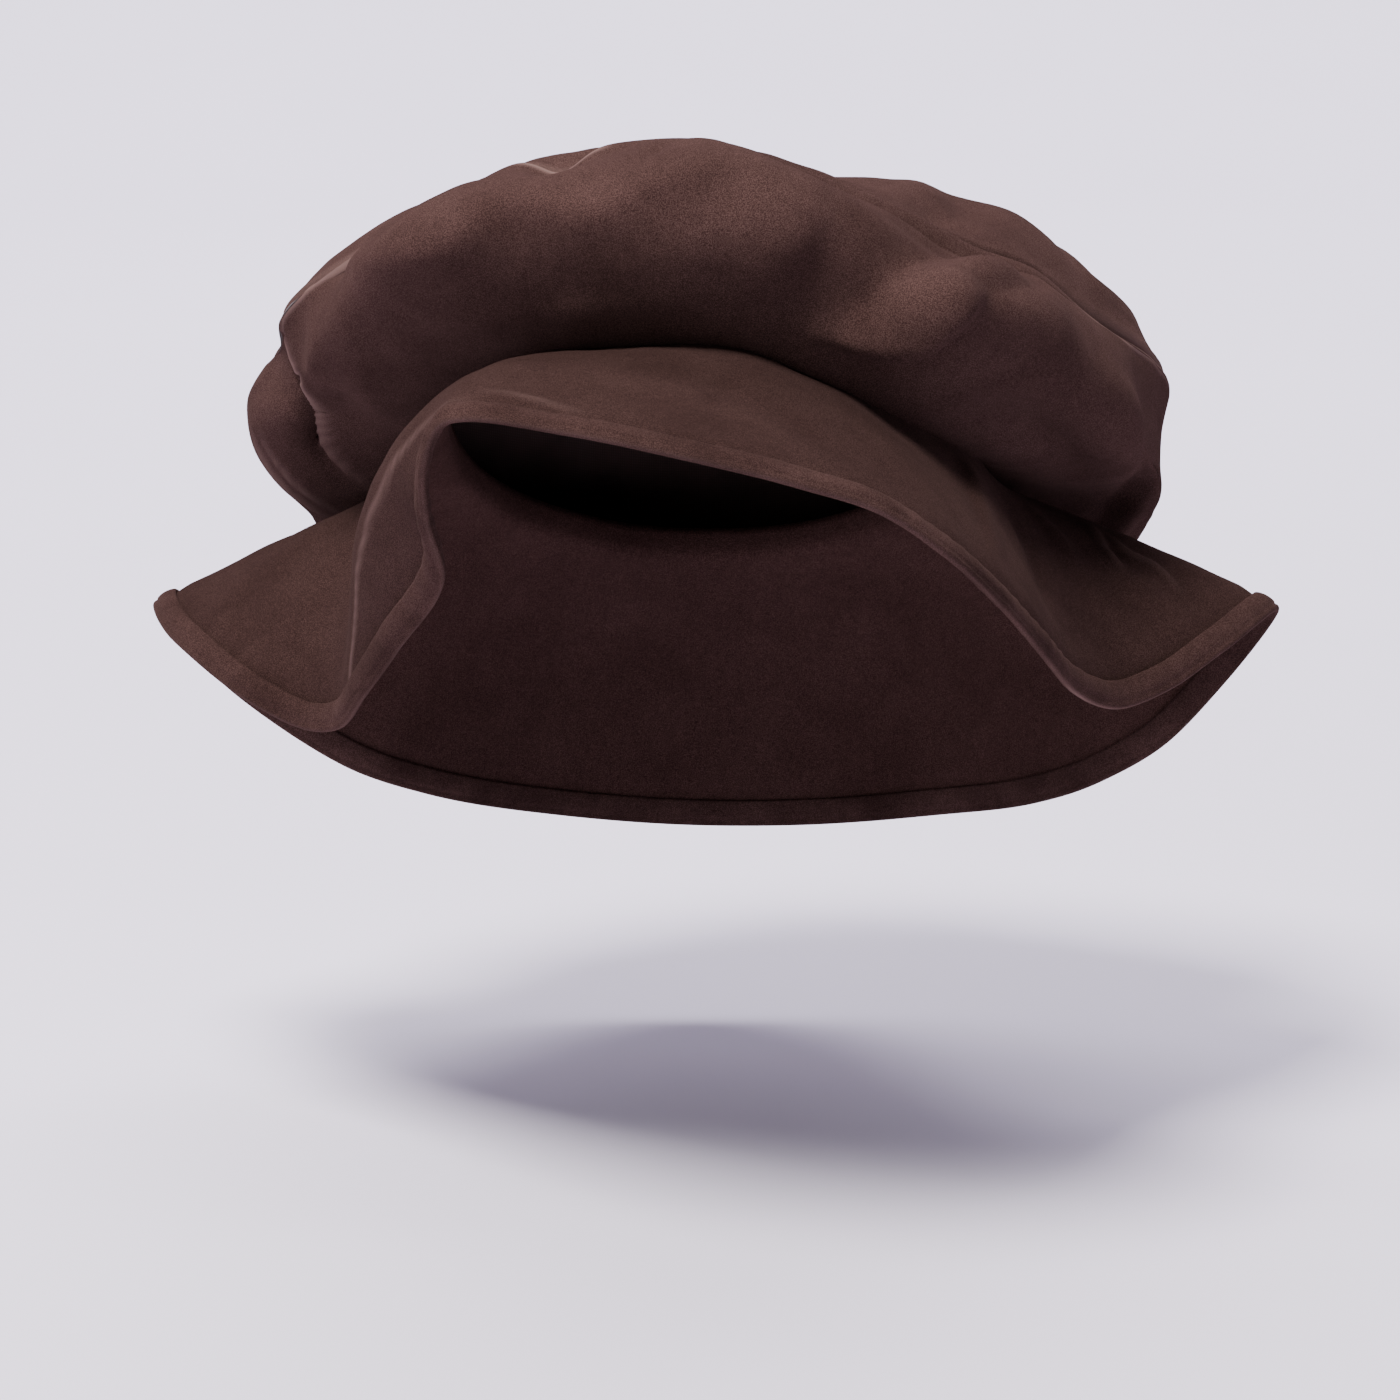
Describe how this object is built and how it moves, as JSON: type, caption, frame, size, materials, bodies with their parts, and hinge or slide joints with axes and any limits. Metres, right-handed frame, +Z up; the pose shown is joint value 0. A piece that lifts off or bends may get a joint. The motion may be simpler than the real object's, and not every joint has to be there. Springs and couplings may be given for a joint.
{
  "type": "tudor beret",
  "caption": "Floppy velvet beret with a full pleated crown and a wide wavy two-layer brim bound at its edge, tilted back as worn.",
  "frame": {"origin": "centre of the oval head opening, where a head holds the hat", "axes": "+X to the wearer's left, +Y to the back of the hat, +Z up; the hat's own axis out through its crown is tilted back by 33 degrees from +Z towards +Y"},
  "size_m": [0.3305, 0.2937, 0.2444],
  "materials": {
    "velvet": "dark brown cotton velvet with a short soft nap"
  },
  "bodies": {
    "root": {"crown_top": "velvet", "crown_side": "velvet", "brim_upper": "velvet", "brim_under": "velvet", "brim_edge": "velvet"}
  },
  "joints": []
}
